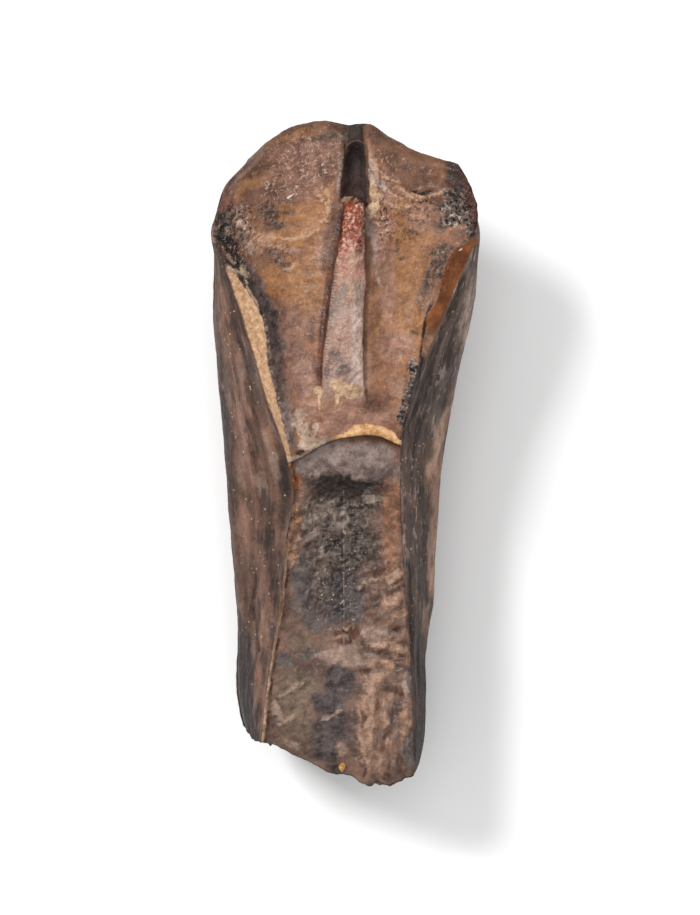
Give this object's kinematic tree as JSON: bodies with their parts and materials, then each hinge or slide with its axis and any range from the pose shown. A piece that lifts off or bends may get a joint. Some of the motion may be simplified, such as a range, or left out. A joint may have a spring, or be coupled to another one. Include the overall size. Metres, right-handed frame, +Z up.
{
  "type": "fossil hadrosaur tooth",
  "caption": "Fossil plant-eating dinosaur tooth: leaf-shaped enamel crown with a ridge down its middle, worn tip, and a long tapering root with a broken end, in mottled brown and black stone.",
  "frame": {"origin": "on the surface that the tooth lies on, under the middle of its length and width", "axes": "+X across the tooth, +Y along it from the root's broken end to the crown's tip, +Z up, out of the enamel face"},
  "size_m": [0.012, 0.03, 0.0088],
  "materials": {
    "fossil_tooth": "satin"
  },
  "bodies": {
    "root": {"tooth": "fossil_tooth"}
  },
  "joints": []
}
